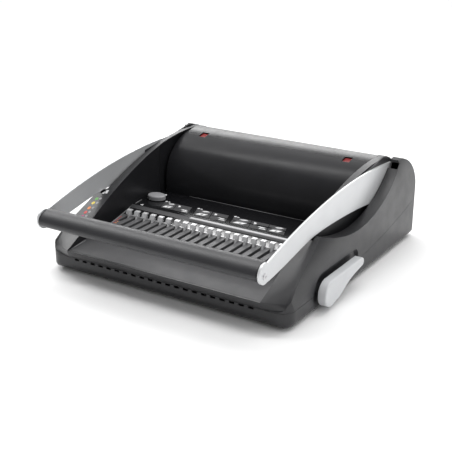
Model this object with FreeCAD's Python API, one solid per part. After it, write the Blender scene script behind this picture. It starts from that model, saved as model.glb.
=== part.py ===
import FreeCAD, Part
import math
import os

V = FreeCAD.Vector
X_AXIS = V(1, 0, 0)
Y_AXIS = V(0, 1, 0)
Z_AXIS = V(0, 0, 1)

# Millimetres. X = 0 is the middle plane, Y = 0 is midway between the front and rear feet with
# the front at -Y, and Z = 0 is the desk. Points in outlines are (Y, Z) unless a name says plan.

# ---- Housing ----------------------------------------------------------------------------------
SIDE_X = 195.0              # outer face of the case
FRONT_Y = -194.5            # front face of the base
NOSE_Y = -205.3             # foremost line of the upper housing
REAR_Y = 214.5
FLOOR_Z = 3.6               # underside of the base
WALL = 3.0
SEAM_GAP = 0.4              # line between the base and the upper housing
SEAM_Z = 26.0               # seam height along the front half
SEAM_BEND_Y = -90.0         # behind this the seam climbs on a circle
SEAM_RADIUS = 1241.0
BASE_FRONT_ROUND = 12.0
BASE_REAR_ROUND = 9.0
BASE_SIDE_ROUND = 8.0
BASE_CORNER_ROUND = 19.0    # plan corners at the front
REAR_CORNER_ROUND = 9.0
HIGH = 170.0                # above everything
SHOULDER_RADIUS = 100.0     # upper side walls roll inwards on this radius
SHOULDER_SLOPE = 0.27      # rise of the line where that roll starts, per unit of Y
SHOULDER_Z = 15.0           # height of that line at Y = NOSE_Y

# ---- Working bay between the cheeks ----------------------------------------------------------
BAY_RIGHT = 160.5
BAY_LEFT = -163.5
BAY_LEFT_FRONT = -152.5     # the left cheek is thicker towards the front
BAY_REAR_Y = 140.4
BAY_TAPER_START_Y = -197.0
BAY_TAPER_END_Y = 40.0
FIT = 0.35                  # gap left round inserted panels
RIM_X = 188.0               # where the cheek's front face reaches its outer rim
INNER_WALL_X = 171.1        # outer face of the inner cheek wall
INNER_SKIN = 2.6
SLOT_X = 177.3              # outer side of the slot that the handle arm swings in
SLOT_FRONT_Y = -99.0
SLOT_REAR_Y = 178.0

SEAM_POINT = (FRONT_Y, SEAM_Z)
RIM_FOOT = (-190.1, 26.0)   # lower end of the rim line, on the rounded corner
RIM_LOW = [(-190.0, 31.5), (-187.0, 38.0)]
NOSE_MID_INNER = (-202.0, 32.5)
NOSE_TOP_INNER = (-204.6, 40.5)
CHEEK_TOP = (-92.0, 94.6)   # crest of the cheek, where the arm enters its slot
RIM_RISE = [(-173.0, 50.0), (-157.0, 60.2), (-139.0, 69.6), (-121.0, 78.4)]
INNER_RISE = [(-180.0, 51.7), (-148.0, 67.5)]
INNER_CREST = [(-45.0, 112.5), (7.0, 128.5), (60.0, 139.0), (100.0, 141.6), (148.0, 141.4)]
SCOOP = [(-60.0, 84.5), (0.0, 76.0), (60.0, 84.0), (108.0, 106.0), (146.0, 137.8)]
REAR_TOP = (153.0, 139.8)
REAR_ARC = (187.0, 120.6)
REAR_END = (208.5, 80.0)
REAR_MIDDLE_TOP = (152.0, 136.0)  # lower between the cheeks, behind the punch cover

# ---- Comb opener -----------------------------------------------------------------------------
PITCH = 14.2875             # 9/16 inch, the plastic comb's ring spacing
HOOK_COUNT = 19
HOLE_COUNT = 21
HOOK_SHIFT_X = -3.5
HOLE_SHIFT_X = -1.5
BLOCK_Z = 60.0              # top of the ribbed comb block
BLOCK_PLAN = [(-131.0, -153.0), (128.0, -153.0), (131.0, -131.0), (139.0, -100.0),
              (148.5, -66.0), (152.0, -57.0), (-155.0, -57.0), (-151.5, -66.0),
              (-142.0, -100.0), (-134.0, -131.0)]
BLOCK_FRONT_Y = -152.0
BLOCK_REAR_Y = -58.3
GROOVE_WIDTH = 5.8
COMB_SHAFT = (-100.0, 24.0)
COMB_SHAFT_RADIUS = 4.0

# ---- Rack and pinion drives, the same for the punch and for the comb opener --------------------
MODULE = 1.5
PINION_TEETH = 16
PITCH_RADIUS = MODULE * PINION_TEETH / 2
ADDENDUM = 1.2
DEDENDUM = 1.65
BACKLASH = 0.3
PRESSURE_ANGLE = math.radians(20)

# ---- Handle ----------------------------------------------------------------------------------
PIVOT = (133.0, 100.0)
SHAFT_RADIUS = 6.0
ARM_X0 = 173.7
ARM_X1 = 176.7
CORE_X0 = 171.7
BAR_CENTRE = (-220.0, 91.0)
BAR_LONG = 16.0             # half axes of the oval bar
BAR_SHORT = 10.5
BAR_TILT = 20.0
BAR_WALL = 2.5
ARM_SCREW = (-222.0, 86.0)

# ---- Punch -----------------------------------------------------------------------------------
PIN_Z = 35.0
PIN_WIDTH = 7.9             # the comb's slots are 8 x 3 mm
PIN_HEIGHT = 2.9
DIE_Y = (38.2, 42.2)
GUIDE_Y = (46.8, 58.0)      # the sheets drop between the die and this guide
PRESS_BAR_Y = (62.0, 72.0)
FRAME_X = (153.0, 156.0)
RACK_X = (138.0, 144.0)


# ---- Helpers ---------------------------------------------------------------------------------
def box(x, y, z):
    """A block from three (low, high) pairs."""
    return Part.makeBox(x[1] - x[0], y[1] - y[0], z[1] - z[0], V(x[0], y[0], z[0]))


def rod_x(radius, centre, x):
    """A cylinder along X round a (Y, Z) centre."""
    return Part.makeCylinder(radius, x[1] - x[0], V(x[0], *centre), X_AXIS)


def rod_z(radius, x, y, z):
    return Part.makeCylinder(radius, z[1] - z[0], V(x, y, z[0]), Z_AXIS)


def wire_yz(x, start, steps):
    """A closed outline in the plane X = x. Each step is a list of points: one for a straight
    line, two for an arc through the first to the second, more for a smooth curve."""
    edges = []
    here = start
    for step in steps:
        points = [V(x, *point) for point in [here] + step]
        if len(points) == 2:
            edges.append(Part.LineSegment(*points).toShape())
        elif len(points) == 3:
            edges.append(Part.Arc(*points).toShape())
        else:
            curve = Part.BSplineCurve()
            curve.interpolate(points)
            edges.append(curve.toShape())
        here = step[-1]
    if here != start:
        edges.append(Part.LineSegment(V(x, *here), V(x, *start)).toShape())
    return Part.Wire(edges)


def prism_yz(x, start, steps):
    """The outline's area pulled from x[0] to x[1]."""
    return Part.Face(wire_yz(x[0], start, steps)).extrude(V(x[1] - x[0], 0, 0))


def polygon_yz(x, points):
    return prism_yz(x, points[0], [[point] for point in points[1:]])


def prism_plan(z, points):
    """A plan polygon pulled from z[0] to z[1]."""
    corners = [V(px, py, z[0]) for px, py in points]
    return Part.Face(Part.makePolygon(corners + corners[:1])).extrude(V(0, 0, z[1] - z[0]))


def rounded_plan(half_x, y, front_radius, rear_radius, z):
    """A rectangle with round corners in plan, pulled from z[0] to z[1]."""
    block = box((-half_x, half_x), y, z)
    uprights = [e for e in block.Edges if abs(e.tangentAt(e.FirstParameter).z) > 0.99]
    block = block.makeFillet(front_radius, [e for e in uprights if e.BoundBox.YMax < 0])
    uprights = [e for e in block.Edges
                if e.BoundBox.YMin > y[1] - 0.01 and e.BoundBox.ZLength > 1
                and e.BoundBox.XLength < 0.01]
    return block.makeFillet(rear_radius, uprights)


def mirrored(shape):
    return shape.mirror(V(0, 0, 0), X_AXIS)


def both(shape):
    return Part.makeCompound([shape, mirrored(shape)])


def lowered(points, by):
    return [(y, z - by) for y, z in points]


def hook_xs():
    middle = (HOOK_COUNT - 1) / 2
    return [(i - middle) * PITCH + HOOK_SHIFT_X for i in range(HOOK_COUNT)]


def hole_xs():
    middle = (HOLE_COUNT - 1) / 2
    return [(i - middle) * PITCH + HOLE_SHIFT_X for i in range(HOLE_COUNT)]


def pinion(centre, x, bore):
    """A spur pinion on a (Y, Z) centre with a tooth pointing straight up."""
    base = PITCH_RADIUS * math.cos(PRESSURE_ANGLE)
    tip = PITCH_RADIUS + ADDENDUM
    root = PITCH_RADIUS - DEDENDUM
    involute = math.tan(PRESSURE_ANGLE) - PRESSURE_ANGLE
    half_tooth = (math.pi * MODULE / 2 - BACKLASH) / (2 * PITCH_RADIUS) + involute
    roll_end = math.sqrt((tip / base) ** 2 - 1)
    flank = []
    for i in range(5):
        roll = roll_end * i / 4
        radius = base * math.sqrt(1 + roll * roll)
        flank.append((radius, half_tooth - (roll - math.atan(roll))))
    edges = []
    last = None

    def point(radius, angle):
        return V(x[0], centre[0] + radius * math.cos(angle), centre[1] + radius * math.sin(angle))

    for tooth in range(PINION_TEETH):
        middle = math.pi / 2 + tooth * 2 * math.pi / PINION_TEETH
        rise = [point(radius, middle - angle) for radius, angle in flank]
        fall = [point(radius, middle + angle) for radius, angle in reversed(flank)]
        foot_in = point(root, middle - half_tooth)
        foot_out = point(root, middle + half_tooth)
        if last is not None:
            edges.append(Part.LineSegment(last, foot_in).toShape())
        else:
            first = foot_in
        for side in (rise, fall):
            curve = Part.BSplineCurve()
            curve.interpolate(side)
            if side is rise:
                edges.append(Part.LineSegment(foot_in, side[0]).toShape())
                edges.append(curve.toShape())
                edges.append(Part.Arc(rise[-1], point(tip, middle), fall[0]).toShape())
            else:
                edges.append(curve.toShape())
                edges.append(Part.LineSegment(side[-1], foot_out).toShape())
        last = foot_out
    edges.append(Part.LineSegment(last, first).toShape())
    wheel = Part.Face(Part.Wire(edges)).extrude(V(x[1] - x[0], 0, 0))
    return wheel.cut(rod_x(bore, centre, x))


def rack(x, centre_y, pitch_z, count, back_z):
    """Teeth pointing down to the pitch line, count = (how many in front of centre_y, how many
    behind it), with a gap at centre_y for the pinion's upright tooth."""
    step = math.pi * MODULE
    slope = math.tan(PRESSURE_ANGLE)
    half = (step / 2 - BACKLASH) / 2
    root_z = pitch_z + DEDENDUM
    tip_z = pitch_z - ADDENDUM
    start = centre_y - (count[0] + 0.2) * step
    end = centre_y + (count[1] + 0.2) * step
    points = [(start, back_z), (start, root_z)]
    for i in range(-count[0], count[1]):
        tooth_y = centre_y + (i + 0.5) * step
        points.append((tooth_y - half - DEDENDUM * slope, root_z))
        points.append((tooth_y - half + ADDENDUM * slope, tip_z))
        points.append((tooth_y + half - ADDENDUM * slope, tip_z))
        points.append((tooth_y + half + DEDENDUM * slope, root_z))
    points += [(end, root_z), (end, back_z)]
    return polygon_yz(x, points)


# ---- Housing surfaces -----------------------------------------------------------------------------
def seam_z(y):
    if y <= SEAM_BEND_Y:
        return SEAM_Z
    return SEAM_Z + SEAM_RADIUS - math.sqrt(SEAM_RADIUS ** 2 - (y - SEAM_BEND_Y) ** 2)


def below_seam(lift):
    """Everything under the seam surface, moved up by lift."""
    x = (-SIDE_X - 30, SIDE_X + 30)
    front, rear = NOSE_Y - 30, REAR_Y + 30
    middle = (SEAM_BEND_Y + rear) / 2
    return prism_yz(x, (front, -30), [
        [(front, SEAM_Z + lift)],
        [(SEAM_BEND_Y, SEAM_Z + lift)],
        [(middle, seam_z(middle) + lift), (rear, seam_z(rear) + lift)],
        [(rear, -30)]])


def shoulder_cutter(inset):
    """What lies outside the inward roll of the right side wall."""
    length = 620.0
    height = 160.0
    radius = SHOULDER_RADIUS - inset
    angle = math.degrees(math.atan(SHOULDER_SLOPE))
    start = V(SIDE_X - SHOULDER_RADIUS, NOSE_Y - 60, SHOULDER_Z - 60 * SHOULDER_SLOPE)
    outside = Part.makeBox(SHOULDER_RADIUS + 40, length, height, start)
    outside.rotate(start, X_AXIS, angle)
    roll = Part.makeCylinder(radius, length, start, Y_AXIS)
    roll.rotate(start, X_AXIS, angle)
    return outside.cut(roll)


def corner_cutter():
    """What lies outside the rounded front right corner, from the rim line outwards."""
    centre = (SIDE_X - BASE_CORNER_ROUND, FRONT_Y + BASE_CORNER_ROUND)
    around = box((RIM_X, SIDE_X + 5), (NOSE_Y - 5, centre[1]), (10, HIGH))
    return around.cut(rod_z(BASE_CORNER_ROUND, centre[0], centre[1], (0, HIGH + 1)))


def rim_steps(sink, set_in):
    """The cheek rim, scoop and rear of the case from the nose to the seam, moved inwards."""
    return [
        [(RIM_LOW[1][0] + set_in, RIM_LOW[1][1] - sink)],
        lowered(RIM_RISE + [CHEEK_TOP], sink),
        lowered(SCOOP, sink),
        [(REAR_TOP[0], REAR_TOP[1] - set_in)],
        [(REAR_ARC[0] - 0.7 * set_in, REAR_ARC[1] - 0.7 * set_in),
         (REAR_END[0] - set_in, REAR_END[1] - 0.3 * set_in)],
        [(REAR_Y - set_in, 56.0)],
        [(REAR_Y - set_in, 10.0)]]


def cheek_front(inner_x):
    """The sloping front of one cheek: a ruled face from its inner edge up to its outer rim."""
    inner = wire_yz(inner_x, SEAM_POINT, [
        [NOSE_MID_INNER, NOSE_TOP_INNER],
        INNER_RISE + [CHEEK_TOP],
        [(CHEEK_TOP[0], SEAM_Z)]])
    outer_steps = [RIM_LOW, RIM_RISE + [CHEEK_TOP], [(CHEEK_TOP[0], SEAM_Z)]]
    slope = Part.makeLoft([inner, wire_yz(RIM_X, RIM_FOOT, outer_steps)], True, True)
    slope = slope.fuse(prism_yz((RIM_X, SIDE_X), RIM_FOOT, outer_steps))
    skirt = prism_yz((inner_x + 1.0, SIDE_X), SEAM_POINT, [
        [(FRONT_Y, SEAM_Z + 1.6)],
        [(FRONT_Y + 8.0, SEAM_Z + 8.0)],
        [(FRONT_Y + 8.0, SEAM_Z)]])
    plan = rounded_plan(SIDE_X, (FRONT_Y, REAR_Y), BASE_CORNER_ROUND, REAR_CORNER_ROUND,
                        (10, HIGH))
    return slope.fuse(skirt.common(plan))


def inner_wall(x, sink, rear_y):
    """The inner cheek wall's side area, from its front edge to rear_y, open downwards."""
    crest = [point for point in INNER_CREST if point[0] <= rear_y]
    crest[-1] = (rear_y, crest[-1][1])
    return prism_yz(x, (CHEEK_TOP[0], 10.0), [
        [(CHEEK_TOP[0], CHEEK_TOP[1] - sink)],
        lowered(crest, sink),
        [(rear_y, 10.0)]])


def rear_section(x, set_in, front_y):
    return prism_yz(x, (front_y, 10.0), [
        [(front_y, REAR_MIDDLE_TOP[1] + 3.5 - set_in)],
        [(REAR_MIDDLE_TOP[0], REAR_MIDDLE_TOP[1] - set_in)],
        [(REAR_ARC[0] - 0.7 * set_in, REAR_ARC[1] - 0.7 * set_in),
         (REAR_END[0] - set_in, REAR_END[1] - 0.3 * set_in)],
        [(REAR_Y - set_in, 56.0)],
        [(REAR_Y - set_in, 10.0)]])


def bay_plan(clearance):
    """The bay's plan outline, drawn in by a clearance."""
    left = BAY_LEFT + clearance
    left_front = BAY_LEFT_FRONT + clearance
    right = BAY_RIGHT - clearance
    return [(left_front, NOSE_Y - 20), (right, NOSE_Y - 20), (right, 300.0), (left, 300.0),
            (left, BAY_TAPER_END_Y), (left_front, BAY_TAPER_START_Y)]


def bay(clearance, y, z):
    prism = prism_plan(z, bay_plan(clearance))
    return prism.common(box((-SIDE_X, SIDE_X), y, z))


# ---- Lever outline, used for the lever and for the dish that it lies in ---------------------------
LEVER_X = (196.7, 208.7)
LEVER_HUB_RADIUS = 18.6
LEVER_TIP = (-9.6, 35.8)
LEVER_TIP_RADIUS = 6.2
LEVER_WAIST = [(-72.0, 11.6), (-52.0, 20.8), (-30.0, 26.4)]
DISH_DEPTH = 3.6
DISH_MARGIN = 9.0


def paddle(x, grow):
    """A tapering paddle round the comb shaft: two circles joined by their outer tangents."""
    r0 = LEVER_HUB_RADIUS + grow
    r1 = LEVER_TIP_RADIUS + grow
    dy = LEVER_TIP[0] - COMB_SHAFT[0]
    dz = LEVER_TIP[1] - COMB_SHAFT[1]
    lie = math.atan2(dz, dy)
    spread = math.acos((r0 - r1) / math.hypot(dy, dz))

    def on(centre, radius, angle):
        return (centre[0] + radius * math.cos(angle), centre[1] + radius * math.sin(angle))

    return prism_yz(x, on(COMB_SHAFT, r0, lie + spread), [
        [on(LEVER_TIP, r1, lie + spread)],
        [on(LEVER_TIP, r1, lie), on(LEVER_TIP, r1, lie - spread)],
        [on(COMB_SHAFT, r0, lie - spread)],
        [on(COMB_SHAFT, r0, lie + math.pi), on(COMB_SHAFT, r0, lie + spread)]])


def lever_outline(x):
    """The lever's side shape: nearly straight on top, waisted underneath."""
    dy = LEVER_TIP[0] - COMB_SHAFT[0]
    dz = LEVER_TIP[1] - COMB_SHAFT[1]
    lie = math.atan2(dz, dy)
    spread = math.acos((LEVER_HUB_RADIUS - LEVER_TIP_RADIUS) / math.hypot(dy, dz))

    def on(centre, radius, angle):
        return (centre[0] + radius * math.cos(angle), centre[1] + radius * math.sin(angle))

    top = lie + spread
    under = math.radians(-62)
    tip_under = math.radians(-75)
    return prism_yz(x, on(COMB_SHAFT, LEVER_HUB_RADIUS, top), [
        [on(LEVER_TIP, LEVER_TIP_RADIUS, top)],
        [on(LEVER_TIP, LEVER_TIP_RADIUS, (top + tip_under) / 2),
         on(LEVER_TIP, LEVER_TIP_RADIUS, tip_under)],
        LEVER_WAIST[::-1] + [on(COMB_SHAFT, LEVER_HUB_RADIUS, under)],
        [on(COMB_SHAFT, LEVER_HUB_RADIUS, (top + under) / 2 - math.pi),
         on(COMB_SHAFT, LEVER_HUB_RADIUS, top)]])


def side_dish():
    """A shallow dish in the right wall, wider at its mouth than at its bottom."""
    floor = paddle((SIDE_X - DISH_DEPTH, SIDE_X - DISH_DEPTH + 1.2), DISH_MARGIN - 3.0)
    step = paddle((SIDE_X - DISH_DEPTH + 1.2, SIDE_X - 1.2), DISH_MARGIN - 1.4)
    mouth = paddle((SIDE_X - 1.2, SIDE_X + 5.0), DISH_MARGIN)
    return floor.fuse(step).fuse(mouth)


def dish_backing():
    """The wall behind the dish, thickened inwards."""
    return paddle((SIDE_X - DISH_DEPTH - WALL, SIDE_X - WALL), DISH_MARGIN + 2.0)


# ---- Housing parts ----------------------------------------------------------------------------------
FRONT_SLOT_WIDTH = 7.8
FRONT_SLOT_HEIGHT = 2.8
TRAY_X = 149.0
TRAY_Z = (7.0, 24.0)
FEET = [(x, y) for x in (-165.0, 165.0) for y in (-150.0, 150.0)]
SCREWS = [(x, y) for x in (-178.0, 178.0) for y in (-165.0, 0.0, 185.0)]
POST_RADIUS = 5.0
SCREW_RADIUS = 1.75


def base_envelope(inset, top):
    y = (FRONT_Y + inset, REAR_Y - inset)
    low = FLOOR_Z + inset
    front_r = BASE_FRONT_ROUND - inset
    rear_r = BASE_REAR_ROUND - inset
    diagonal = 1 - math.sqrt(0.5)
    side = prism_yz((-SIDE_X, SIDE_X), (y[0], top), [
        [(y[0], low + front_r)],
        [(y[0] + front_r * diagonal, low + front_r * diagonal), (y[0] + front_r, low)],
        [(y[1] - rear_r, low)],
        [(y[1] - rear_r * diagonal, low + rear_r * diagonal), (y[1], low + rear_r)],
        [(y[1], top)]])
    plan = rounded_plan(SIDE_X - inset, y, BASE_CORNER_ROUND - inset, REAR_CORNER_ROUND - inset,
                        (low, top))
    lower = [e for e in plan.Edges
             if abs(e.BoundBox.ZMax - low) < 0.01 and e.BoundBox.YLength > 300]
    plan = plan.makeFillet(BASE_SIDE_ROUND - min(inset, 2.0), lower)
    return side.common(plan)


def make_base_shell():
    top = 90.0
    shell = base_envelope(0, top).cut(base_envelope(WALL, top + 1))
    for x, y in SCREWS:
        shell = shell.fuse(rod_z(POST_RADIUS, x, y, (FLOOR_Z + 1, 22.0)))
    backing = dish_backing().common(box((0, SIDE_X), (-200, 200), (FLOOR_Z + 1, top)))
    shell = shell.fuse(backing).common(below_seam(0))
    for x in hole_xs():
        shell = shell.cut(box((x - FRONT_SLOT_WIDTH / 2, x + FRONT_SLOT_WIDTH / 2),
                              (FRONT_Y - 5, FRONT_Y + WALL + 2),
                              (SEAM_Z - FRONT_SLOT_HEIGHT, SEAM_Z + 1)))
    for x, y in FEET:
        shell = shell.cut(rod_z(3.0, x, y, (0, FLOOR_Z + WALL)))
    for x, y in SCREWS:
        shell = shell.cut(rod_z(4.0, x, y, (0, FLOOR_Z + 2.0)))
        shell = shell.cut(rod_z(SCREW_RADIUS, x, y, (0, 30)))
    tray_mouth = box((-TRAY_X - 1, TRAY_X + 1), (REAR_Y - 20, REAR_Y + 5),
                     (FLOOR_Z + WALL, TRAY_Z[1] + 1.4))
    shell = shell.cut(tray_mouth).cut(side_dish())
    return shell.cut(rod_x(COMB_SHAFT_RADIUS + 1.5, COMB_SHAFT, (180, 220)))


def make_upper_housing():
    plan = rounded_plan(SIDE_X, (NOSE_Y, REAR_Y), 1.0, REAR_CORNER_ROUND, (10, HIGH))
    plan_inner = rounded_plan(SIDE_X - WALL, (FRONT_Y + WALL, REAR_Y - WALL),
                              BASE_CORNER_ROUND - WALL, REAR_CORNER_ROUND - WALL, (0, HIGH))

    side_start = (CHEEK_TOP[0], 10.0)
    outer = prism_yz((SLOT_X, SIDE_X), side_start, [[CHEEK_TOP]] + rim_steps(0, 0)[2:])
    right = cheek_front(BAY_RIGHT).fuse(outer)
    right = right.fuse(inner_wall((BAY_RIGHT - 2, INNER_WALL_X), 0, BAY_REAR_Y + 5))
    left = cheek_front(-BAY_LEFT_FRONT).fuse(outer)
    left = left.fuse(inner_wall((-BAY_LEFT_FRONT - 2, INNER_WALL_X), 0, BAY_REAR_Y + 5))
    nose = prism_yz((BAY_LEFT_FRONT, BAY_RIGHT), SEAM_POINT, [
        [NOSE_MID_INNER, NOSE_TOP_INNER],
        [(NOSE_TOP_INNER[0] + WALL, NOSE_TOP_INNER[1] - 0.4)],
        [(NOSE_MID_INNER[0] + WALL, NOSE_MID_INNER[1]), (FRONT_Y + WALL, SEAM_Z)]])
    rear = rear_section((-SIDE_X, SIDE_X), 0, BAY_REAR_Y + 0.6)
    body = right.fuse(mirrored(left)).fuse(rear)

    cavity_foot = (RIM_FOOT[0] + WALL, 0.0)
    cavity = prism_yz((INNER_WALL_X, SIDE_X - WALL), cavity_foot, [
        [(cavity_foot[0], RIM_LOW[1][1] - 5.0)],
        lowered(RIM_RISE + [CHEEK_TOP], WALL + 1.4),
        lowered(SCOOP, WALL + 0.2)] + rim_steps(0, WALL)[4:])
    cavity = cavity.cut(shoulder_cutter(WALL))
    pocket = inner_wall((BAY_RIGHT + INNER_SKIN, INNER_WALL_X - INNER_SKIN), INNER_SKIN,
                        BAY_REAR_Y)
    pocket = pocket.fuse(prism_yz((BAY_RIGHT + INNER_SKIN, INNER_WALL_X - INNER_SKIN),
                                  cavity_foot, [
        [(cavity_foot[0], RIM_LOW[1][1] - 5.0)],
        lowered(RIM_RISE + [CHEEK_TOP], INNER_SKIN + 0.6),
        [(CHEEK_TOP[0], 0.0)]]))
    rear_cavity = rear_section((-SIDE_X + WALL, SIDE_X - WALL), WALL, BAY_REAR_Y - 5)
    hollow = both(cavity.fuse(pocket)).common(plan_inner)

    body = body.cut(bay(0, (-300, BAY_REAR_Y), (0, HIGH)))
    body = body.fuse(nose).common(plan)
    shoulder = shoulder_cutter(0)
    body = body.cut(shoulder).cut(mirrored(shoulder))
    corner = corner_cutter()
    body = body.cut(corner).cut(mirrored(corner))
    body = body.cut(hollow).cut(rear_cavity.common(plan_inner))
    slot = box((INNER_WALL_X, SLOT_X), (SLOT_FRONT_Y, SLOT_REAR_Y), (20, HIGH))
    body = body.cut(slot).cut(mirrored(slot))
    body = body.fuse(dish_backing().common(box((0, SIDE_X - 1), (-200, 200), (SEAM_Z, 90))))
    body = body.cut(below_seam(SEAM_GAP))
    body = body.cut(side_dish()).cut(rod_x(COMB_SHAFT_RADIUS + 1.5, COMB_SHAFT, (150, 220)))
    bore = rod_x(SHAFT_RADIUS + 1.5, PIVOT, (BAY_RIGHT - 5, INNER_WALL_X + 1))
    return body.cut(bore).cut(mirrored(bore))



# ---- Panels inside the bay -----------------------------------------------------------------------
PANEL_WALL = 2.5
PANEL_FRONT_Y = -201.2
PANEL_REAR_Y = -45.9
DECK_FRONT_Y = -45.6
DECK_WALL = 3.0
HOOK_TRAVEL = PITCH_RADIUS * math.pi / 2
TINE_X = (-2.7, -0.9)       # each fixed tine, from the groove's centre
HOOK_X = (-0.4, 2.4)        # the stem of each moving hook
HOOK_CAP_X = (-4.3, 3.5)    # its broad head
BED_FRONT_Y = -83.4
TINE_RAIL_Y = (-85.6, -83.6)
COVER_X = (-162.9, 159.9)
COVER_WALL = 2.6
CATCH_X = (-128.1, 125.1)
CATCH_Y = (99.0, 112.0)
KNOB = (-141.0, -8.5)
KNOB_TRAVEL = 10.0


def panel_profile(lift):
    """Everything under the front panel's upper surface, moved up by lift."""
    x = (-SIDE_X, SIDE_X)
    return prism_yz(x, (PANEL_FRONT_Y, 0.0), [
        [(PANEL_FRONT_Y, 40.2 + lift)],
        [(-163.0, 44.4 + lift), (-118.0, 46.6 + lift), (-88.0, 47.6 + lift)],
        [(-78.0, 49.8 + lift), (-70.0, 52.8 + lift)],
        [(-58.0, 57.4 + lift)],
        [(-52.0, 59.8 + lift), (PANEL_REAR_Y, 60.8 + lift)],
        [(PANEL_REAR_Y, 0.0)]])


def hook_slots(clearance, z):
    """The slots that the moving hooks travel in."""
    y = (-93.0 - HOOK_TRAVEL - clearance, -86.0)
    slots = [box((x + HOOK_X[0] - clearance, x + HOOK_X[1] + clearance), y, z) for x in hook_xs()]
    return Part.makeCompound(slots)


def make_front_panel():
    panel = panel_profile(0).cut(panel_profile(-PANEL_WALL))
    panel = panel.common(bay(FIT, (-300, 300), (0, HIGH)))
    return panel.cut(hook_slots(0.5, (30, 70)))


def block_profile(y):
    front_drop = [
        [(BLOCK_FRONT_Y, BLOCK_Z - 8)],
        [(BLOCK_FRONT_Y + 2.4, BLOCK_Z - 2.4), (BLOCK_FRONT_Y + 8, BLOCK_Z)],
        [(BLOCK_REAR_Y, BLOCK_Z)],
        [(BLOCK_REAR_Y, 40.0)]]
    across = (-SIDE_X, SIDE_X)
    block = prism_yz(across, (BLOCK_FRONT_Y, 40.0), front_drop).cut(panel_profile(0.02))
    block = block.common(prism_plan((0, HIGH), BLOCK_PLAN))
    return block.common(box(across, y, (0, HIGH)))


def make_comb_block():
    """The ribbed platform: a groove runs up to each hook."""
    block = block_profile((BLOCK_FRONT_Y - 1, TINE_RAIL_Y[0]))
    for i, x in enumerate(hook_xs()):
        reach = (BLOCK_FRONT_Y - 1 if i > 0 else -113.0, TINE_RAIL_Y[0] - 1.5)
        groove = box((x - GROOVE_WIDTH / 2, x + GROOVE_WIDTH / 2),
                     reach, (BLOCK_Z - 9, BLOCK_Z + 1))
        stem = box((x + TINE_X[0] - 0.3, x + HOOK_X[1] + 0.5),
                   (TINE_RAIL_Y[0] - 6, TINE_RAIL_Y[0] + 1), (BLOCK_Z - 9, BLOCK_Z + 1))
        block = block.cut(groove).cut(stem)
    return block.cut(hook_slots(0.5, (30, 70)))


def make_comb_bed():
    """The black step behind the tines."""
    return block_profile((BED_FRONT_Y, BLOCK_REAR_Y))


def make_comb_tines():
    """Fixed upright tines on a common rail let in behind the ribs."""
    rail = box((-138.6, 131.6), TINE_RAIL_Y, (51.0, BLOCK_Z))
    outline = [(-84.6, 52.0), (-84.6, 60.0), (-82.9, 62.6), (-87.4, 62.6), (-91.0, 57.0),
               (-91.0, 52.0)]
    tines = [polygon_yz((x + TINE_X[0], x + TINE_X[1]), outline) for x in hook_xs()]
    return rail.fuse(tines)


def make_hook_plate():
    """The sliding plate under the block with a hook for every comb ring."""
    plate = box((-136.5, 133.5), (-118.0, -71.0), (41.3, 43.0))
    for x in (-95.0, -35.0, 35.0, 95.0):
        plate = plate.cut(box((x - 22, x + 22), (-112.0, -98.0), (41, 44)))
    stem = [(-93.0, 42.0), (-93.0, 58.0), (-90.4, 64.0), (-84.2, 64.0), (-88.0, 57.5),
            (-88.0, 42.0)]
    cap = [(-91.2, 63.2), (-88.6, 69.0), (-83.2, 69.4), (-83.2, 68.0), (-86.4, 67.2),
           (-88.4, 63.2)]
    hooks = []
    for x in hook_xs():
        hooks.append(polygon_yz((x + HOOK_X[0], x + HOOK_X[1]), stem))
        hooks.append(polygon_yz((x + HOOK_CAP_X[0], x + HOOK_CAP_X[1]), cap))
    return plate.fuse(hooks)


COMB_PINION_X = (117.0, 125.0)
COMB_RACK_X = (118.0, 124.0)


def make_comb_racks():
    pitch_z = COMB_SHAFT[1] + PITCH_RADIUS
    teeth = rack(COMB_RACK_X, COMB_SHAFT[0], pitch_z, (3, 6), 41.3)
    return both(teeth)


def make_comb_pinions():
    return both(pinion(COMB_SHAFT, COMB_PINION_X, COMB_SHAFT_RADIUS))


def make_comb_shaft():
    return rod_x(COMB_SHAFT_RADIUS, COMB_SHAFT, (-136.0, 205.0))


def make_comb_bearings():
    """Two blocks on the base floor that carry the comb shaft."""
    block = box((106.0, 114.0), (-110.0, -90.0), (FLOOR_Z + WALL, 33.0))
    block = block.cut(rod_x(COMB_SHAFT_RADIUS + 0.06, COMB_SHAFT, (100, 120)))
    return both(block)


def make_comb_lever():
    lever = lever_outline(LEVER_X)
    face = [e for e in lever.Edges if abs(e.BoundBox.XMin - LEVER_X[1]) < 0.01]
    lever = lever.makeFillet(2.2, face)
    boss = rod_x(9.0, COMB_SHAFT, (SIDE_X - DISH_DEPTH + 0.6, LEVER_X[0] + 0.5))
    return lever.fuse(boss).cut(rod_x(COMB_SHAFT_RADIUS, COMB_SHAFT, (180, 205.0)))


RAIL_Y = (-56.2, -50.2)
RAIL_Z = 63.6


def make_comb_rail():
    """The pale stop rail behind the hooks, with a slanting left end."""
    front, rear = RAIL_Y
    bar = prism_yz((-61.5, BAY_RIGHT - 0.6), (front, 50.0), [
        [(front, RAIL_Z - 1.2)],
        [(front + 0.35, RAIL_Z - 0.35), (front + 1.2, RAIL_Z)],
        [(rear - 1.2, RAIL_Z)],
        [(rear - 0.35, RAIL_Z - 0.35), (rear, RAIL_Z - 1.2)],
        [(rear, 50.0)]])
    bar = bar.cut(panel_profile(0.02))
    slant = prism_plan((40, 80), [(-70, -70), (-52, -70), (-42, -40), (-70, -40)])
    return bar.cut(slant)


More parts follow.
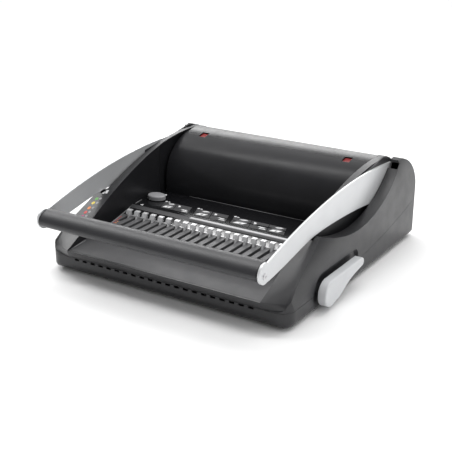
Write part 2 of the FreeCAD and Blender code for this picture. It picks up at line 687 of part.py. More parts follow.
def make_deck_plate():
    top = [(DECK_FRONT_Y, 61.0)]
    plate = prism_yz((-SIDE_X, SIDE_X), top[0], [
        [(0.0, 60.4), (32.0, 58.4)],
        [(38.4, 56.4), (41.6, 50.6)],
        [(39.4, 50.6)],
        [(37.0, 53.6), (32.0, 58.4 - DECK_WALL)],
        [(0.0, 60.4 - DECK_WALL), (DECK_FRONT_Y, 61.0 - DECK_WALL)]])
    plate = plate.common(bay(FIT, (-300, 300), (0, HIGH)))
    x = (KNOB[0] - 4.6, KNOB[0] + KNOB_TRAVEL + 4.6)
    return plate.cut(box(x, (KNOB[1] - 2.6, KNOB[1] + 2.6), (50, 70)))


def make_edge_guide():
    """The sliding paper edge stop: stem and foot through the deck slot."""
    x, y = KNOB
    stem = box((x - 4.0, x + 4.0), (y - 2.2, y + 2.2), (54.0, 62.0))
    foot = box((x - 8.0, x + 8.0), (y - 8.0, y + 8.0), (54.0, 56.6))
    washer = box((x - 9.0, x + 9.0), (y - 7.0, y + 7.0), (61.2, 62.0))
    return stem.fuse(foot).fuse(washer)


def make_edge_guide_knob():
    x, y = KNOB
    knob = Part.makeCylinder(15.0, 6.6, V(0, 0, 62.0))
    knob = knob.makeFillet(2.2, [e for e in knob.Edges if e.BoundBox.ZMin > 67])
    squash = FreeCAD.Matrix()
    squash.scale(V(1.0, 0.77, 1.0))
    knob = knob.transformGeometry(squash)
    knob.translate(V(x, y, 0))
    return knob


def cover_profile(x, set_in):
    """The punch cover's side area, drawn in by set_in at the front and the top."""
    front = [(48.0, 51.6), (47.2, 72.0), (50.0, 92.0), (57.0, 108.0), (72.0, 124.0),
             (92.0, 135.5), (115.0, 141.0), (139.6, 142.6)]
    points = []
    for i, (y, z) in enumerate(front):
        before = front[max(i - 1, 0)]
        after = front[min(i + 1, len(front) - 1)]
        dy, dz = after[0] - before[0], after[1] - before[1]
        length = math.hypot(dy, dz)
        points.append((y + set_in * dz / length, z - set_in * dy / length))
    end = (139.6, points[-1][1])
    points[-1] = end
    return prism_yz(x, points[0], [points[1:], [(139.6, 60.0)], [(60.0, 51.6)]])


def make_punch_cover():
    cover = cover_profile(COVER_X, 0)
    inner_x = (COVER_X[0] + COVER_WALL, COVER_X[1] - COVER_WALL)
    inside = cover_profile(inner_x, COVER_WALL)
    inside = inside.fuse(box(inner_x, (52, 150), (40, 70)))
    inside = inside.fuse(box(inner_x, (139, 150), (40, 139)))
    cover = cover.cut(inside)
    cover = cover.cut(rod_x(SHAFT_RADIUS + 2.0, PIVOT, (-170, 170)))
    for x in CATCH_X:
        cover = cover.cut(box((x - 6.2, x + 6.2), (CATCH_Y[0] - 0.8, CATCH_Y[1] + 0.8), (120, 160)))
    return cover


def make_catch(x):
    """A sprung release catch showing through the cover's top."""
    body = prism_yz((x - 5.6, x + 5.6), (CATCH_Y[0], 128.0), [
        [(CATCH_Y[0], 136.2)],
        [(CATCH_Y[1], 138.8)],
        [(CATCH_Y[1], 128.0)]])
    flange = box((x - 8.0, x + 8.0), (CATCH_Y[0] - 3, CATCH_Y[1] + 3), (128.0, 131.4))
    return body.fuse(flange)


# ---- Punch parts -------------------------------------------------------------------------------
def make_side_frame(side):
    """A steel plate that carries the die and the handle shaft, with a foot on the base floor."""
    outline = [(22.0, FLOOR_Z + WALL), (22.0, 48.0), (56.0, 48.0), (56.0, 90.0), (64.0, 104.0),
               (80.0, 116.0), (100.0, 124.0), (150.0, 126.0), (156.0, 118.0),
               (156.0, FLOOR_Z + WALL)]
    plate = polygon_yz(FRAME_X, outline)
    foot = box((FRAME_X[1] - 0.5, FRAME_X[1] + 10), (30.0, 150.0), (FLOOR_Z + WALL, 9.0))
    plate = plate.fuse(foot).cut(rod_x(8.0, PIVOT, (150, 160)))
    plate = plate.cut(rod_x(12.0, (100.0, 62.0), (150, 160)))
    return plate if side > 0 else mirrored(plate)


def make_shaft_bushes():
    bush = rod_x(8.0, PIVOT, (151.5, 157.0)).fuse(rod_x(10.5, PIVOT, (FRAME_X[1], 157.0)))
    return both(bush.cut(rod_x(SHAFT_RADIUS + 0.06, PIVOT, (150, 160))))


def make_die_plate():
    plate = box((-152.9, 152.9), DIE_Y, (26.0, 49.6))
    return plate.cut(pin_shapes((DIE_Y[0] - 1, DIE_Y[1] + 1), 0.08))


def make_guide_plate():
    """The block behind the throat that guides the pins; its toe is the paper stop."""
    block = box((-152.9, 152.9), GUIDE_Y, (26.0, 50.4))
    toe = box((-152.9, 152.9), (DIE_Y[1], GUIDE_Y[0] + 1), (26.0, 31.0))
    return block.fuse(toe).cut(pin_shapes((GUIDE_Y[0] - 1, GUIDE_Y[1] + 1), 0.08))


def pin_shapes(y, grow):
    half_x = PIN_WIDTH / 2 + grow
    half_z = PIN_HEIGHT / 2 + grow
    pins = [box((x - half_x, x + half_x), y, (PIN_Z - half_z, PIN_Z + half_z)) for x in hole_xs()]
    return Part.makeCompound(pins)


def make_punch_pins():
    return pin_shapes((36.0, PRESS_BAR_Y[0]), 0)


def make_pressure_bar():
    """The beam that pushes all pins, with an arm up to the racks at each end."""
    beam = box((-146.0, 146.0), PRESS_BAR_Y, (29.0, 47.0))
    arm = box((RACK_X[0], RACK_X[1]), (PRESS_BAR_Y[0], 88.0), (29.0, 47.0))
    arm = arm.fuse(box(RACK_X, (78.0, 88.0), (29.0, 119.0)))
    return beam.fuse(both(arm))


def make_punch_racks():
    pitch_z = PIVOT[1] + PITCH_RADIUS
    teeth = rack(RACK_X, PIVOT[0], pitch_z, (5, 2), 119.0)
    bar = box(RACK_X, (88.0, PIVOT[0] - 5.0 * math.pi * MODULE), (114.0, 119.0))
    return both(teeth.fuse(bar))


def make_punch_pinions():
    return both(pinion(PIVOT, (RACK_X[0] - 1, RACK_X[1] + 1), SHAFT_RADIUS))


def make_handle_shaft():
    return rod_x(SHAFT_RADIUS, PIVOT, (-ARM_X0, ARM_X0))


def make_chip_tray():
    y = (6.0, REAR_Y - 0.4)
    tray = box((-TRAY_X, TRAY_X), y, TRAY_Z)
    tray = tray.cut(box((-TRAY_X + 1.8, TRAY_X - 1.8), (y[0] + 1.8, y[1] - 2.4),
                        (TRAY_Z[0] + 1.8, 30)))
    notch = rod_y(16.0, 0.0, TRAY_Z[1] + 5.0, (y[1] - 4, y[1] + 2))
    return tray.cut(notch)


def rod_y(radius, x, z, y):
    return Part.makeCylinder(radius, y[1] - y[0], V(x, y[0], z), Y_AXIS)


# ---- Handle parts ------------------------------------------------------------------------------
def make_arm(side):
    """The silver side arm: a long curved blade with a round front end."""
    arm = prism_yz((ARM_X0, ARM_X1), (-214.0, 100.8), [
        [(-132.0, 120.4), (-42.0, 133.8), (43.0, 138.4), (148.0, 133.2)],
        [(151.6, 131.2), (151.4, 127.4)],
        [(141.0, 108.3), (114.0, 90.2), (97.3, 84.0)],
        [(60.0, 90.4), (23.0, 93.6), (-52.0, 96.6), (-100.0, 95.0), (-134.0, 89.8),
         (-217.0, 76.2)],
        [(-234.0, 84.4), (-214.0, 100.8)]])
    arm = arm.cut(rod_x(1.9, ARM_SCREW, (ARM_X0 - 1, ARM_X1 + 1)))
    return arm if side > 0 else mirrored(arm)


def make_arm_core(side):
    """The steel link inside the arm that grips the shaft."""
    core = prism_yz((CORE_X0, ARM_X0), (8.0, 98.0), [
        [(8.0, 131.0)],
        [(60.0, 137.0), (92.0, 141.0), (120.0, 145.4)],
        [(128.0, 145.8), (138.0, 143.6)],
        [(150.0, 139.0)],
        [(156.0, 122.0), (152.0, 100.0)],
        [(146.5, 86.5), (133.0, 81.0)],
        [(118.0, 88.0), (96.0, 90.0)]])
    core = core.cut(rod_x(SHAFT_RADIUS, PIVOT, (CORE_X0 - 1, ARM_X0 + 1)))
    return core if side > 0 else mirrored(core)


def bar_section(x, set_in):
    """The oval bar, smaller all round by set_in."""
    ellipse = Part.Ellipse(V(0, 0, 0), BAR_LONG - set_in, BAR_SHORT - set_in)
    face = Part.Face(Part.Wire(ellipse.toShape()))
    face.rotate(V(0, 0, 0), Y_AXIS, 90)
    face.rotate(V(0, 0, 0), X_AXIS, 90 + BAR_TILT)
    face.translate(V(x[0], *BAR_CENTRE))
    return face.extrude(V(x[1] - x[0], 0, 0))


def make_handle_bar():
    half = ARM_X0 - 2.2
    return bar_section((-half, half), 0).cut(bar_section((-half, half), BAR_WALL))


def make_bar_end_plugs():
    plug = bar_section((ARM_X0 - 2.2, ARM_X0), 0.4)
    plug = plug.fuse(bar_section((ARM_X0 - 16.0, ARM_X0 - 2.0), BAR_WALL + 0.1))
    return both(plug.cut(rod_x(1.8, ARM_SCREW, (ARM_X0 - 12, ARM_X0 + 1))))


def make_bar_screws():
    screw = rod_x(1.8, ARM_SCREW, (ARM_X0 - 12, ARM_X1 + 0.2))
    head = rod_x(4.0, ARM_SCREW, (ARM_X1, ARM_X1 + 1.6))
    head = head.cut(rod_x(1.6, ARM_SCREW, (ARM_X1 + 0.6, ARM_X1 + 2)))
    return both(screw.fuse(head))


# ---- Feet and screws -----------------------------------------------------------------------------
def make_rubber_feet():
    feet = []
    for x, y in FEET:
        pad = rod_z(9.0, x, y, (0, FLOOR_Z))
        pad = pad.makeFillet(0.8, [e for e in pad.Edges if e.BoundBox.ZMax < 0.01])
        feet.append(pad.fuse(rod_z(2.9, x, y, (FLOOR_Z - 1, FLOOR_Z + WALL))))
    return Part.makeCompound(feet)


def make_base_screws():
    screws = []
    for x, y in SCREWS:
        head = rod_z(3.8, x, y, (FLOOR_Z + 0.3, FLOOR_Z + 2.0))
        head = head.cut(box((x - 2.6, x + 2.6), (y - 0.5, y + 0.5), (FLOOR_Z, FLOOR_Z + 1.2)))
        screws.append(head.fuse(rod_z(SCREW_RADIUS, x, y, (FLOOR_Z + 1, 20.0))))
    return Part.makeCompound(screws)


PARTS = {
    "base_shell": make_base_shell,
    "upper_housing": make_upper_housing,
    "front_panel": make_front_panel,
    "deck_plate": make_deck_plate,
    "comb_block": make_comb_block,
    "comb_bed": make_comb_bed,
    "comb_tines": make_comb_tines,
    "comb_rail": make_comb_rail,
    "hook_plate": make_hook_plate,
    "comb_racks": make_comb_racks,
    "comb_pinions": make_comb_pinions,
    "comb_shaft": make_comb_shaft,
    "comb_bearings": make_comb_bearings,
    "comb_lever": make_comb_lever,
    "edge_guide": make_edge_guide,
    "edge_guide_knob": make_edge_guide_knob,
    "punch_cover": make_punch_cover,
    "release_catch_left": lambda: make_catch(CATCH_X[0]),
    "release_catch_right": lambda: make_catch(CATCH_X[1]),
    "side_frame_left": lambda: make_side_frame(-1),
    "side_frame_right": lambda: make_side_frame(1),
    "shaft_bushes": make_shaft_bushes,
    "die_plate": make_die_plate,
    "guide_plate": make_guide_plate,
    "punch_pins": make_punch_pins,
    "pressure_bar": make_pressure_bar,
    "punch_racks": make_punch_racks,
    "punch_pinions": make_punch_pinions,
    "handle_shaft": make_handle_shaft,
    "arm_core_left": lambda: make_arm_core(-1),
    "arm_core_right": lambda: make_arm_core(1),
    "arm_left": lambda: make_arm(-1),
    "arm_right": lambda: make_arm(1),
    "handle_bar": make_handle_bar,
    "bar_end_plugs": make_bar_end_plugs,
    "bar_screws": make_bar_screws,
    "chip_tray": make_chip_tray,
    "rubber_feet": make_rubber_feet,
    "base_screws": make_base_screws,
}

os.makedirs("parts", exist_ok=True)
for name, make in PARTS.items():
    shape = make()
    print(name, shape.isValid(), len(shape.Solids), round(shape.Volume))
    shape.exportStep(f"parts/{name}.step")
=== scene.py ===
import math

import bmesh
import bpy
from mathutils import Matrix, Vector
from mathutils.bvhtree import BVHTree


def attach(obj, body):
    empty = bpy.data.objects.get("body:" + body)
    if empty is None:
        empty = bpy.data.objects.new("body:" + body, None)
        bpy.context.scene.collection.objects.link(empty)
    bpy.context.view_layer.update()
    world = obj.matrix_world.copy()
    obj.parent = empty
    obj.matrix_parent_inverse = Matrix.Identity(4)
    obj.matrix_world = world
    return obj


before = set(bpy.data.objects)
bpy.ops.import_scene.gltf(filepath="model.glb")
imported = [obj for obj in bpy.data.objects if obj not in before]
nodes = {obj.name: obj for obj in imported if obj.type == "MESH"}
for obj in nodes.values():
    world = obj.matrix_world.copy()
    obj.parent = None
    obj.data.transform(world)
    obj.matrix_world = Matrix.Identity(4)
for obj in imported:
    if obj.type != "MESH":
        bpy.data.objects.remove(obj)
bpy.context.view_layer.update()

MM = 0.001


# ---- Materials ----------------------------------------------------------------------------------
COLOUR_SCALE = 14.0         # slow change of colour over a surface, in cells per metre
GLOSS_SCALE = 45.0          # change of roughness, in cells per metre
GLOSS_SPREAD = 0.12
COAT_ROUGHNESS = 0.08
NOISE_ROUGHNESS = 0.5
NOISE_MIDDLE = (0.3, 0.7)   # most noise values lie between these
EDGE_SAMPLES = 4
GRAIN_DEPTH = 0.0002        # metres


def new_material(name):
    """A new material, its node tree and the only shader in it."""
    material = bpy.data.materials.new(name)
    material.use_nodes = True
    tree = material.node_tree
    tree.nodes.clear()
    shader = tree.nodes.new("ShaderNodeBsdfPrincipled")
    output = tree.nodes.new("ShaderNodeOutputMaterial")
    tree.links.new(shader.outputs["BSDF"], output.inputs["Surface"])
    return material, tree, shader


def noise(tree, vector, scale, detail):
    """A noise value from 0 to 1."""
    node = tree.nodes.new("ShaderNodeTexNoise")
    node.inputs["Scale"].default_value = scale
    node.inputs["Detail"].default_value = detail
    node.inputs["Roughness"].default_value = NOISE_ROUGHNESS
    tree.links.new(vector, node.inputs["Vector"])
    return node.outputs["Fac"]


def ramp(tree, value, low, high):
    """A noise value, of which the middle part is stretched to run from low to high."""
    node = tree.nodes.new("ShaderNodeMapRange")
    node.inputs["From Min"].default_value = NOISE_MIDDLE[0]
    node.inputs["From Max"].default_value = NOISE_MIDDLE[1]
    node.inputs["To Min"].default_value = low
    node.inputs["To Max"].default_value = high
    tree.links.new(value, node.inputs["Value"])
    return node.outputs["Result"]


def mix_colour(tree, factor, a, b):
    """Colour a where the factor is 0, colour b where it is 1."""
    node = tree.nodes.new("ShaderNodeMix")
    node.data_type = "RGBA"
    tree.links.new(factor, node.inputs["Factor"])
    node.inputs["A"].default_value = (*a, 1)
    node.inputs["B"].default_value = (*b, 1)
    return node.outputs["Result"]


def surface(name, colour, rough, grain=0.0, grain_scale=1800.0, metal=0.0, coat=0.0,
            round_edge=0.35, stretch=None, spread=0.12, specular=0.5):
    """A moulded, painted or metal surface: fine grain, uneven colour and gloss, soft edges.

    grain is the strength of the fine bumps, stretch draws them out along an axis, as on brushed
    steel, spread is how far the colour varies, and round_edge is in millimetres."""
    material, tree, shader = new_material(name)
    where = tree.nodes.new("ShaderNodeTexCoord").outputs["Object"]
    if stretch:
        mapping = tree.nodes.new("ShaderNodeMapping")
        mapping.inputs["Scale"].default_value = stretch
        tree.links.new(where, mapping.inputs["Vector"])
        fine_where = mapping.outputs["Vector"]
    else:
        fine_where = where
    broad = noise(tree, where, COLOUR_SCALE, detail=3.0)
    fine = noise(tree, fine_where, grain_scale, detail=2.0)
    gloss = noise(tree, where, GLOSS_SCALE, detail=4.0)
    dark = tuple(c * (1 - spread) for c in colour)
    light = tuple(min(1.0, c * (1 + spread)) for c in colour)
    paint = mix_colour(tree, ramp(tree, broad, 0, 1), dark, light)
    tree.links.new(paint, shader.inputs["Base Color"])
    smoothest = rough * (1 - GLOSS_SPREAD)
    roughest = min(1.0, rough * (1 + GLOSS_SPREAD))
    tree.links.new(ramp(tree, gloss, smoothest, roughest), shader.inputs["Roughness"])
    shader.inputs["Metallic"].default_value = metal
    shader.inputs["Specular IOR Level"].default_value = specular
    shader.inputs["Coat Weight"].default_value = coat
    shader.inputs["Coat Roughness"].default_value = COAT_ROUGHNESS
    soft = tree.nodes.new("ShaderNodeBevel")
    soft.samples = EDGE_SAMPLES
    soft.inputs["Radius"].default_value = round_edge * MM
    bump = tree.nodes.new("ShaderNodeBump")
    bump.inputs["Strength"].default_value = grain
    bump.inputs["Distance"].default_value = GRAIN_DEPTH
    tree.links.new(fine, bump.inputs["Height"])
    tree.links.new(soft.outputs["Normal"], bump.inputs["Normal"])
    tree.links.new(bump.outputs["Normal"], shader.inputs["Normal"])
    return material


BODY = surface("housing_plastic", (0.015, 0.015, 0.017), 0.36, grain=0.2, round_edge=0.5,
               spread=0.05)
PANEL = surface("panel_plastic", (0.042, 0.042, 0.045), 0.55, grain=0.35, round_edge=0.4)
RIBS = surface("rib_plastic", (0.070, 0.070, 0.073), 0.5, grain=0.3, round_edge=0.5)
COVER = surface("cover_plastic", (0.020, 0.020, 0.022), 0.24, grain=0.1, round_edge=0.5,
                specular=0.16)
DECK = surface("deck_gloss", (0.006, 0.006, 0.007), 0.20, grain=0.05, coat=0.3, round_edge=0.3)
PALE = surface("pale_plastic", (0.50, 0.50, 0.51), 0.45, grain=0.15)
# This pale grey colours the lip strip and also the edge beads. On the beads it is a painted
# highlight.
TRIM_AND_HIGHLIGHT = surface("trim_and_highlight_plastic", (0.16, 0.16, 0.165), 0.4, grain=0.15)
SILVER = surface("silver_paint", (0.66, 0.67, 0.68), 0.36, grain=0.12, grain_scale=2600.0,
                 metal=0.35, round_edge=0.5, spread=0.04)
LEVER = surface("lever_plastic", (0.60, 0.61, 0.625), 0.42, grain=0.15, round_edge=0.8,
                spread=0.05)
BAR = surface("bar_plastic", (0.022, 0.022, 0.025), 0.38, grain=0.22, round_edge=0.6)
KNOB = surface("knob_plastic", (0.30, 0.30, 0.31), 0.45, grain=0.2, round_edge=0.6)
RED = surface("red_plastic", (0.20, 0.003, 0.004), 0.5, grain=0.1, specular=0.2)
STEEL = surface("plain_steel", (0.42, 0.42, 0.43), 0.34, grain=0.3, grain_scale=700.0,
                metal=1.0, stretch=(0.05, 1.0, 1.0))
BRIGHT = surface("bright_steel", (0.66, 0.66, 0.67), 0.30, grain=0.1, metal=0.45,
                 round_edge=0.25, spread=0.03)
DARK_STEEL = surface("black_steel", (0.025, 0.025, 0.027), 0.42, grain=0.25, metal=0.2)
BUSH = surface("bush_bronze", (0.35, 0.22, 0.09), 0.45, grain=0.4, grain_scale=900.0, metal=1.0)
RUBBER = surface("foot_rubber", (0.018, 0.018, 0.018), 0.8, grain=0.5, grain_scale=1200.0)
BLACK = surface("black_plastic", (0.014, 0.014, 0.015), 0.45, grain=0.25)


def ink(name, colour):
    """A thin, even layer of print."""
    return surface(name, colour, 0.5, grain=0.05, round_edge=0.05, spread=0.05)


WHITE_INK = ink("white_ink", (0.78, 0.78, 0.79))
GREY_INK = ink("grey_ink", (0.035, 0.035, 0.037))
MID_INK = ink("mid_grey_ink", (0.14, 0.14, 0.145))
LABEL_INK = ink("label_ink", (0.012, 0.012, 0.013))
PALE_INK = ink("pale_ink", (0.30, 0.30, 0.31))
DOT_INKS = [ink("green_ink", (0.10, 0.38, 0.05)), ink("yellow_ink", (0.75, 0.58, 0.04)),
            ink("orange_ink", (0.75, 0.22, 0.03)), ink("red_ink", (0.55, 0.03, 0.03)),
            ink("magenta_ink", (0.42, 0.03, 0.16)), ink("purple_ink", (0.16, 0.04, 0.26))]

NODE_MATERIALS = {
    "base_shell": BODY, "upper_housing": BODY, "front_panel": PANEL, "deck_plate": DECK,
    "comb_block": RIBS, "comb_bed": DECK, "comb_tines": BRIGHT, "comb_rail": PALE,
    "hook_plate": BRIGHT, "comb_racks": STEEL, "comb_pinions": STEEL, "comb_shaft": STEEL,
    "comb_bearings": BLACK, "comb_lever": LEVER, "edge_guide": BLACK, "edge_guide_knob": KNOB,
    "punch_cover": COVER, "release_catch_left": RED, "release_catch_right": RED,
    "side_frame_left": STEEL, "side_frame_right": STEEL, "shaft_bushes": BUSH,
    "die_plate": STEEL, "guide_plate": STEEL, "punch_pins": STEEL, "pressure_bar": STEEL,
    "punch_racks": STEEL, "punch_pinions": STEEL, "handle_shaft": STEEL,
    "arm_core_left": DARK_STEEL, "arm_core_right": DARK_STEEL, "arm_left": SILVER,
    "arm_right": SILVER, "handle_bar": BAR, "bar_end_plugs": BAR, "bar_screws": BRIGHT,
    "chip_tray": BLACK, "rubber_feet": RUBBER, "base_screws": STEEL,
}
for name, material in NODE_MATERIALS.items():
    mesh = nodes[name].data
    mesh.materials.clear()
    mesh.materials.append(material)


# ---- Printed marks, trim and painted highlight beads ---------------------------------------------
# All in millimetres. A place is (X, Y) in the machine's own frame, or (X, Y, Z) off a surface.
# A top is a height above the surface that carries the print.
RAY_START = 300.0           # above the whole machine
OPEN_HEIGHT = 60.0          # of a corner over an opening: one, of the label's heading, is over
                            # the left arm's slot and hangs down into it
PRINT_FOOT = 0.01           # underside of every mark
PRINT_TOP = 0.12
SLIGHTLY_FLAT = 0.9

SPOT_PLACES = [(-175.0, y) for y in (-110.0, -118.0, -127.6, -136.0, -144.0, -152.2)]
SPOT_RADIUS = 2.7
GREY_SPOT_PLACES = [(-168.9, y) for y in (-108.5, -117.0, -126.2, -134.3, -142.2, -150.0)]
GREY_SPOT_RADIUS = 2.2
HEADING_PLACES = ((-171.5, -96.5), (-166.8, -95.0))
HEADING_SHAPE = ((-2.2, -3), (2, -3), (1, 3), (-3, 3))

TILES = ((-113.5, 21.8), (-91.0, 27.0), (-54.0, 27.0), (-25.5, 27.5), (11.0, 30.0),
         (42.0, 29.0), (72.0, 27.0))    # left end of each tile's front edge, and its width
TILE_Y = (-36.0, -10.5)
TILE_LEAN = -9.5            # shift of each tile's rear edge along X
GROUP_STARTS = (-113.5, -54.0, 11.0)
GROUND_TOP = 0.10           # the tile itself
SHAPE_TOP = 0.15            # the shapes on it
COMB_TOP = 0.2
# Shapes on a tile, as fractions of its width and depth.
WHOLE_TILE = [(0, 0), (1, 0), (1, 1), (0, 1)]
COMB_SHAPE = [(0.40, 0.20), (0.50, 0.20), (0.60, 0.34), (0.50, 0.34)]
SHEET_SHAPES = [
    [(0.10, 0.12), (0.62, 0.16), (0.86, 0.46), (0.30, 0.40)],
    [(0.14, 0.52), (0.50, 0.48), (0.92, 0.60), (0.60, 0.66)],
    [(0.34, 0.78), (0.52, 0.72), (0.88, 0.84), (0.70, 0.92)]]
ARROW_SHAPES = [
    [(0.16, 0.66), (0.30, 0.64), (0.30, 0.84), (0.16, 0.86)],
    [(0.10, 0.60), (0.23, 0.46), (0.38, 0.58)],
    [(0.56, 0.10), (0.92, 0.12), (0.92, 0.20), (0.56, 0.18)],
    [(0.44, 0.30), (0.80, 0.28), (0.90, 0.38), (0.52, 0.42)]]
GREY_SHAPE = 1              # the second shape on each tile is grey, the others are white
MARKER_SHIFT = (1.5, 1.6)   # from the rear left corner of each group's first tile
MARKER_RADIUS = 2.6
SECOND_SHIFT = (5.2, -0.6)  # from the first marker
SECOND_RADIUS = 2.0
MARKER_TOP = 0.25

SCALE_PLACE = (-149.0, 17.0)
SCALE_SHAPES = (((-5, -3.5), (3, -3.5), (1, 4), (-7, 4)), ((4, -3), (9, -3), (7, 4), (2, 4)))
ARROW_PLACE = (-143.8, -42.0)
ARROW_SHAPE = ((-4, 0), (2.6, -2.6), (0.8, 3.2))

MARK_ROWS = 6
SECOND_COLUMN_ROWS = 3
MARK_FRONT_Y = -128.0
MARK_PITCH = 6.0
MARK_RADIUS = 1.1
MARK_INSETS = (2.2, 5.6)    # of the two columns, from the left edge of the comb block
BLOCK_CORNER = (-134.0, -131.0)     # a point on that edge
BLOCK_LEAN = 0.26           # how far that edge moves left, per unit of Y

# Beads along the left edges of the comb block, front panel and deck. Their pale colour is a painted
# highlight along those edges.
BLOCK_HIGHLIGHT_BEAD = [(-131.6, -146.0, 60.1), (-134.4, -131.0, 60.1), (-142.4, -100.0, 60.1),
              (-151.7, -66.5, 60.1), (-155.2, -57.5, 60.1)]
PANEL_HIGHLIGHT_BEAD = [(-150.3, -198.0, 40.9), (-149.7, -182.0, 42.8), (-149.2, -168.0, 44.1)]
DECK_HIGHLIGHT_BEAD = [(-156.0, -43.0, 61.2), (-158.4, -24.0, 61.2)]
HIGHLIGHT_BEAD_RADIUS = 0.9
DECK_HIGHLIGHT_BEAD_RADIUS = 0.8
LIP_STRIP = [(-112.0, 38.8, 56.9), (94.0, 38.8, 56.9)]
LIP_STRIP_RADIUS = 0.45


def tree_of(name):
    """A CAD node's surface, ready for rays."""
    node = nodes[name]
    bm = bmesh.new()
    bm.from_mesh(node.data)
    bm.transform(node.matrix_world)
    found = BVHTree.FromBMesh(bm)
    bm.free()
    return found


def finish_piece(name, bm, materials, body="frame"):
    mesh = bpy.data.meshes.new(name)
    bm.to_mesh(mesh)
    bm.free()
    for material in materials:
        mesh.materials.append(material)
    piece = bpy.data.objects.new(name, mesh)
    bpy.context.collection.objects.link(piece)
    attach(piece, body)
    return piece


def surface_point(tree, x, y, lift):
    """The point on the node's upper surface at (x, y), lifted along its normal."""
    start = Vector((x * MM, y * MM, RAY_START * MM))
    place, normal, _, _ = tree.ray_cast(start, Vector((0, 0, -1)))
    if place is None:
        print("no surface under", x, y)
        place, normal = Vector((x * MM, y * MM, OPEN_HEIGHT * MM)), Vector((0, 0, 1))
    return place + normal * lift * MM


def decal(bm, tree, outline, top, index):
    """A thin printed area with a closed outline, lying on a flat or gently curved surface."""
    low = [bm.verts.new(surface_point(tree, x, y, PRINT_FOOT)) for x, y in outline]
    high = [bm.verts.new(surface_point(tree, x, y, top)) for x, y in outline]
    faces = [bm.faces.new(high), bm.faces.new(low[::-1])]
    for i in range(len(outline)):
        j = (i + 1) % len(outline)
        faces.append(bm.faces.new((low[i], low[j], high[j], high[i])))
    for face in faces:
        face.material_index = index


def disc(centre, radius, stretch=1.0, steps=24):
    """A round outline, or an oval one, or a diamond from four steps."""
    return [(centre[0] + radius * math.cos(2 * math.pi * i / steps),
             centre[1] + radius * stretch * math.sin(2 * math.pi * i / steps))
            for i in range(steps)]


def placed(shape, place):
    """An outline moved to its place."""
    return [(place[0] + x, place[1] + y) for x, y in shape]


def between(a, b, share):
    """The point that lies this share of the way from a to b."""
    return (a[0] + (b[0] - a[0]) * share, a[1] + (b[1] - a[1]) * share)


def across(tile, u, v):
    """A point of a leaning tile: u runs left to right, v runs front to rear."""
    front_left, rear_left, rear_right, front_right = tile
    return between(between(front_left, front_right, u), between(rear_left, rear_right, u), v)


def patch(bm, tree, tile, corners, top, index):
    """A printed shape on a tile."""
    decal(bm, tree, [across(tile, u, v) for u, v in corners], top, index)


def tube(bm, path, radius, steps=10):
    """A round bead along a path."""
    rings = []
    for i, point in enumerate(path):
        ahead = Vector(path[min(i + 1, len(path) - 1)]) - Vector(path[max(i - 1, 0)])
        side = ahead.cross(Vector((0, 0, 1))).normalized()
        up = side.cross(ahead).normalized()
        ring = []
        for k in range(steps):
            angle = 2 * math.pi * k / steps
            place = Vector(point) + side * radius * math.cos(angle) + up * radius * math.sin(angle)
            ring.append(bm.verts.new(place * MM))
        rings.append(ring)
    for a, b in zip(rings, rings[1:]):
        for k in range(steps):
            n = (k + 1) % steps
            face = bm.faces.new((a[k], a[n], b[n], b[k]))
            face.smooth = True
    bm.faces.new(rings[0][::-1])
    bm.faces.new(rings[-1])


def make_size_marks():
    """Two columns of small spots on the comb block, left of its first groove."""
    tree = tree_of("comb_block")
    bm = bmesh.new()
    for i in range(MARK_ROWS):
        y = MARK_FRONT_Y + MARK_PITCH * i
        edge = BLOCK_CORNER[0] - (y - BLOCK_CORNER[1]) * BLOCK_LEAN
        for column, inset in enumerate(MARK_INSETS):
            if column == 0 or i < SECOND_COLUMN_ROWS:
                decal(bm, tree, disc((edge + inset, y), MARK_RADIUS, 1.0, 12), PRINT_TOP, column)
    finish_piece("size_marks", bm, [DOT_INKS[3], DOT_INKS[2]])


def make_lip_line():
    """Pale strip along the rear lip of the deck, in front of the slot for the sheets."""
    bm = bmesh.new()
    tube(bm, LIP_STRIP, LIP_STRIP_RADIUS)
    finish_piece("lip_line", bm, [TRIM_AND_HIGHLIGHT])


def make_cheek_label():
    """Comb size guide on the left cheek: one coloured and one grey spot for each size."""
    tree = tree_of("upper_housing")
    bm = bmesh.new()
    for i, place in enumerate(SPOT_PLACES):
        decal(bm, tree, disc(place, SPOT_RADIUS), PRINT_TOP, i + 1)
    for place in GREY_SPOT_PLACES:
        decal(bm, tree, disc(place, GREY_SPOT_RADIUS, SLIGHTLY_FLAT), PRINT_TOP, 0)
    for place in HEADING_PLACES:
        decal(bm, tree, placed(HEADING_SHAPE, place), PRINT_TOP, len(DOT_INKS) + 1)
    finish_piece("cheek_label", bm, [PALE_INK] + DOT_INKS + [WHITE_INK])


def make_pictograms():
    """Small panels in three groups that show, without words, how sheets and comb go in."""
    tree = tree_of("deck_plate")
    bm = bmesh.new()
    white, ground, dark, mid = range(4)
    front, rear = TILE_Y
    for i, (left, width) in enumerate(TILES):
        tile = ((left, front), (left + TILE_LEAN, rear),
                (left + TILE_LEAN + width, rear), (left + width, front))
        patch(bm, tree, tile, WHOLE_TILE, GROUND_TOP, ground)
        shapes = SHEET_SHAPES if i % 2 == 0 else ARROW_SHAPES
        for k, shape in enumerate(shapes):
            patch(bm, tree, tile, shape, SHAPE_TOP, mid if k == GREY_SHAPE else white)
        patch(bm, tree, tile, COMB_SHAPE, COMB_TOP, dark)
    for left in GROUP_STARTS:
        marker = (left + TILE_LEAN + MARKER_SHIFT[0], rear + MARKER_SHIFT[1])
        second = (marker[0] + SECOND_SHIFT[0], marker[1] + SECOND_SHIFT[1])
        decal(bm, tree, disc(marker, MARKER_RADIUS, SLIGHTLY_FLAT, 4), MARKER_TOP, white)
        decal(bm, tree, disc(second, SECOND_RADIUS, SLIGHTLY_FLAT, 4), MARKER_TOP, white)
    finish_piece("deck_pictograms", bm, [WHITE_INK, GREY_INK, LABEL_INK, MID_INK])


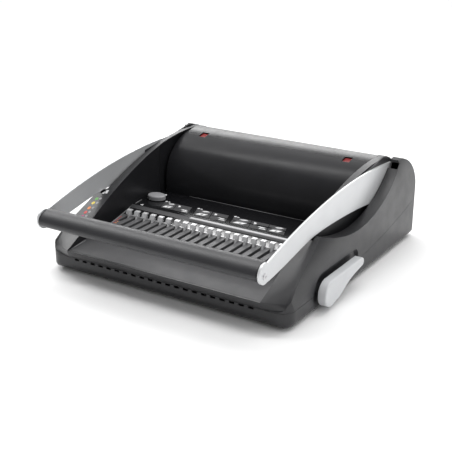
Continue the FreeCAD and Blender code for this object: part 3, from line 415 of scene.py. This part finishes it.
def make_deck_icons():
    """Edge guide scale and a small arrow at the left of the deck."""
    tree = tree_of("deck_plate")
    bm = bmesh.new()
    for shape in SCALE_SHAPES:
        decal(bm, tree, placed(shape, SCALE_PLACE), PRINT_TOP, 0)
    decal(bm, tree, placed(ARROW_SHAPE, ARROW_PLACE), PRINT_TOP, 0)
    finish_piece("deck_icons", bm, [WHITE_INK])


def make_highlight_bead():
    """Raised bead along the left edge of the front panel, the comb block and the deck, coloured
    pale as a painted highlight where those edges catch light.
    """
    bm = bmesh.new()
    tube(bm, BLOCK_HIGHLIGHT_BEAD, HIGHLIGHT_BEAD_RADIUS)
    tube(bm, PANEL_HIGHLIGHT_BEAD, HIGHLIGHT_BEAD_RADIUS)
    tube(bm, DECK_HIGHLIGHT_BEAD, DECK_HIGHLIGHT_BEAD_RADIUS)
    finish_piece("edge_highlight_bead", bm, [TRIM_AND_HIGHLIGHT])


make_size_marks()
make_lip_line()
make_cheek_label()
make_pictograms()
make_deck_icons()
make_highlight_bead()


# ---- Floor, light and camera ---------------------------------------------------------------------
# Metres, degrees and the lamps' own units.
FLOOR_HALF = 6.0
FLOOR_COLOUR = (0.95, 0.95, 0.95, 1)
FLOOR_ROUGHNESS = 0.9
WORLD_COLOUR = (1, 1, 1, 1)
WORLD_STRENGTH = 0.40
CAMERA_PLACE = (0.6876, -1.1100, 0.5432)
CAMERA_TILT = 69.02
CAMERA_TURN = 32.49
CAMERA_LENS = 74.87         # millimetres
SENSOR_WIDTH = 36.0         # millimetres


def make_floor():
    mesh = bpy.data.meshes.new("floor")
    half = FLOOR_HALF
    corners = [(-half, -half, 0), (half, -half, 0), (half, half, 0), (-half, half, 0)]
    mesh.from_pydata(corners, [], [(0, 1, 2, 3)])
    floor = bpy.data.objects.new("floor", mesh)
    bpy.context.collection.objects.link(floor)
    material, _, shader = new_material("floor_white")
    shader.inputs["Base Color"].default_value = FLOOR_COLOUR
    shader.inputs["Roughness"].default_value = FLOOR_ROUGHNESS
    mesh.materials.append(material)


def make_world():
    world = bpy.data.worlds.new("studio")
    world.use_nodes = True
    background = world.node_tree.nodes["Background"]
    background.inputs["Color"].default_value = WORLD_COLOUR
    background.inputs["Strength"].default_value = WORLD_STRENGTH
    bpy.context.scene.world = world


def make_light(name, place, target, size, power):
    """A rectangular soft box aimed at its target."""
    light = bpy.data.lights.new(name, "AREA")
    light.shape = "RECTANGLE"
    light.size = size[0]
    light.size_y = size[1]
    light.energy = power
    lamp = bpy.data.objects.new(name, light)
    lamp.location = place
    aim = Vector(target) - Vector(place)
    lamp.rotation_euler = aim.to_track_quat("-Z", "Y").to_euler()
    bpy.context.collection.objects.link(lamp)


def make_sun(name, place, spread, strength):
    """Very soft light from one direction, so the floor is evenly bright to its edges."""
    light = bpy.data.lights.new(name, "SUN")
    light.energy = strength
    light.angle = math.radians(spread)
    lamp = bpy.data.objects.new(name, light)
    lamp.location = place
    lamp.rotation_euler = (-Vector(place)).to_track_quat("-Z", "Y").to_euler()
    bpy.context.collection.objects.link(lamp)


def make_camera():
    camera = bpy.data.cameras.new("camera")
    camera.lens = CAMERA_LENS
    camera.sensor_width = SENSOR_WIDTH
    holder = bpy.data.objects.new("camera", camera)
    holder.location = CAMERA_PLACE
    holder.rotation_euler = (math.radians(CAMERA_TILT), 0, math.radians(CAMERA_TURN))
    bpy.context.collection.objects.link(holder)
    bpy.context.scene.camera = holder


make_floor()
make_world()
make_sun("top", place=(0.0, 0.45, 1.6), spread=80, strength=1.6)
make_light("strip", place=(-0.15, 0.35, 1.6), target=(0, 0.05, 0.1), size=(2.0, 0.2), power=9)
make_sun("key", place=(-1.5, 0.35, 1.15), spread=30, strength=0.95)
make_light("fill", place=(1.7, -0.5, 0.9), target=(0, 0, 0.05), size=(1.4, 1.0), power=6)
make_light("rim", place=(-1.1, 1.75, 0.95), target=(0, 0.1, 0.12), size=(2.6, 0.40), power=19)
make_camera()
bpy.context.scene.view_settings.view_transform = "Standard"
